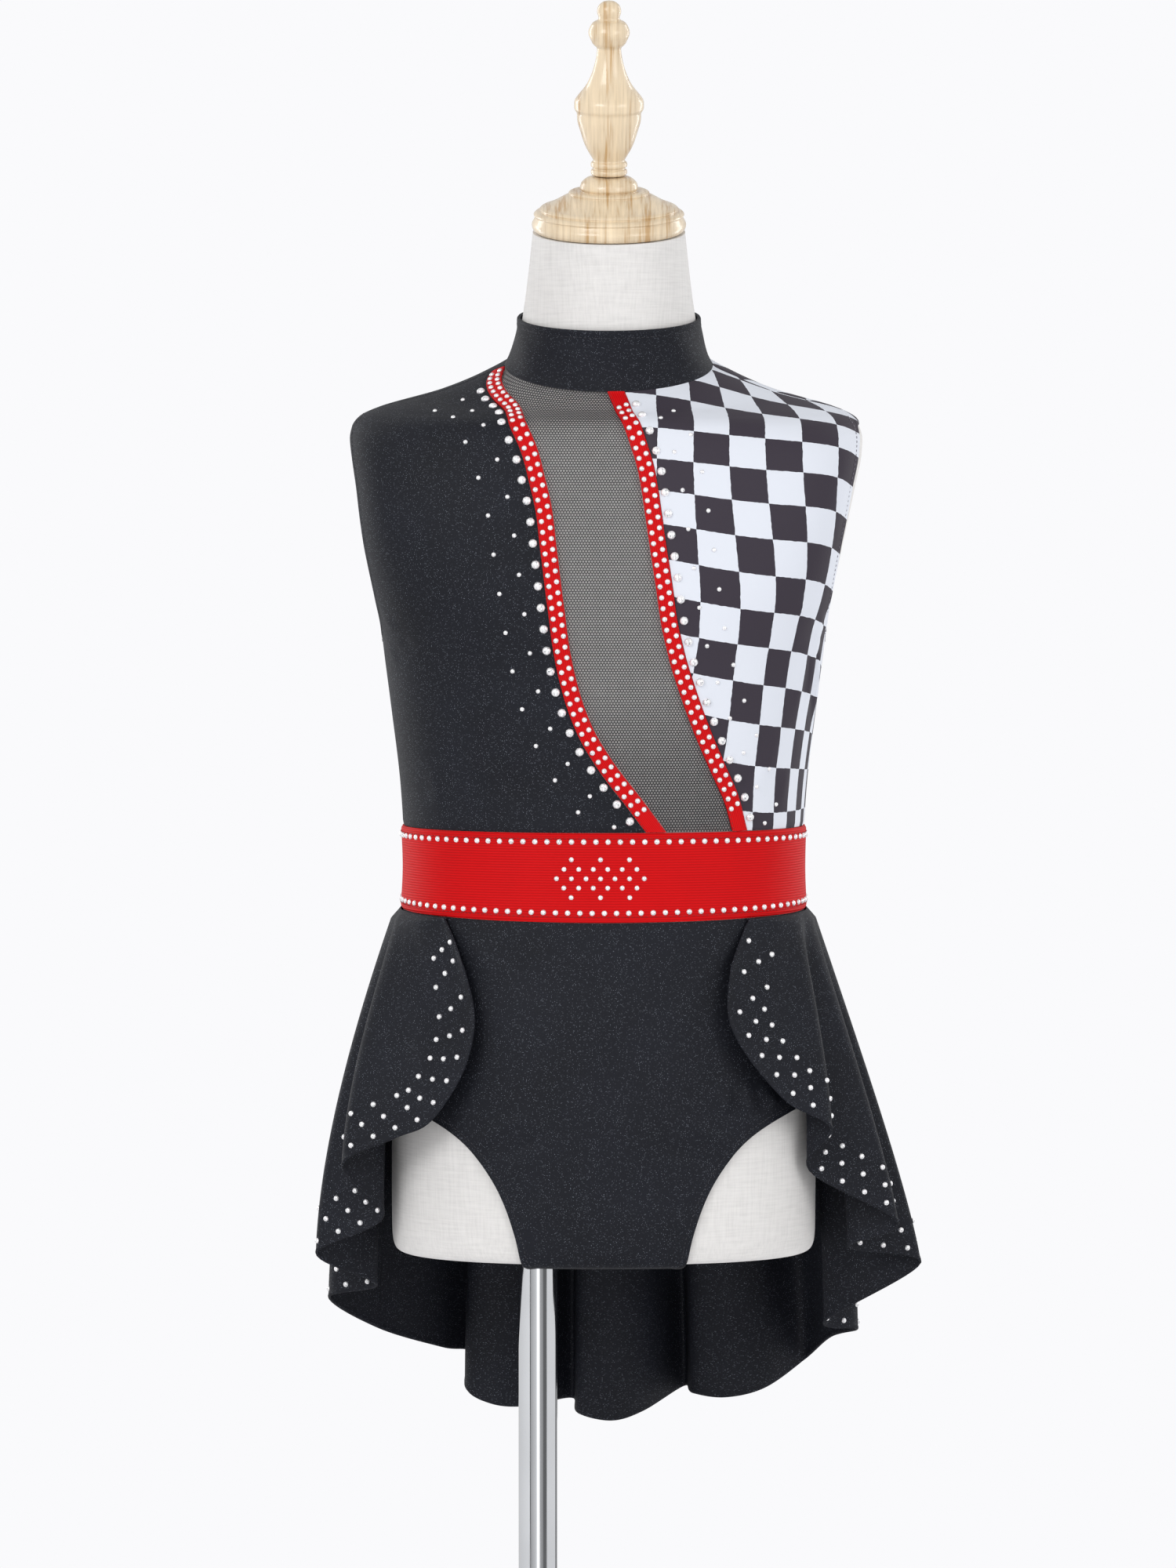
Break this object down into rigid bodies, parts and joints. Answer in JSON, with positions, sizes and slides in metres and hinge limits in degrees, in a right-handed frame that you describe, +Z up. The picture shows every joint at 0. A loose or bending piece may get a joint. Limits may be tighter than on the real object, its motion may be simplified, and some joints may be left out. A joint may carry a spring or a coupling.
{
  "type": "circus leotard costume on a limbless dress form",
  "caption": "Sleeveless stage leotard with mock neck, slanted net insert, wide belt, high-cut brief and high-low cascade skirt, on a limbless dress form with a pole stand.",
  "frame": {"origin": "on the floor, at the underside of the round base plate, under the middle of the body; the pole and the plate's own centre are 38.5 mm to the wearer's right of it", "axes": "+Z up, -Y the way the costume faces, +X to the wearer's left"},
  "size_m": [0.3647, 0.2896, 1.1966],
  "materials": {
    "linen": "pale linen weave over a firm torso",
    "wood": "pale turned wood, satin lacquer",
    "chrome": "polished chrome plate",
    "black_knit": "black stretch knit with fine glitter",
    "checked_knit": "stretch knit printed in black and white checks, fine glitter",
    "red_elastic": "bright red ribbed elastic, slight sheen",
    "black_net": "fine black stretch net, half see-through"
  },
  "bodies": {
    "root": {"form_torso": "linen", "neck_cap": "wood", "finial": "wood", "pole": "chrome", "base_plate": "chrome", "collar": "black_knit", "front_right": "black_knit", "back_right": "black_knit", "front_left_checked": "checked_knit", "back_left_checked": "checked_knit", "binding_right": "red_elastic", "binding_left": "red_elastic", "net_insert": "black_net", "belt": "red_elastic", "brief_front": "black_knit", "brief_back": "black_knit", "brief_gusset": "black_knit", "skirt_right": "black_knit", "skirt_back": "black_knit", "skirt_left": "black_knit"}
  },
  "joints": []
}
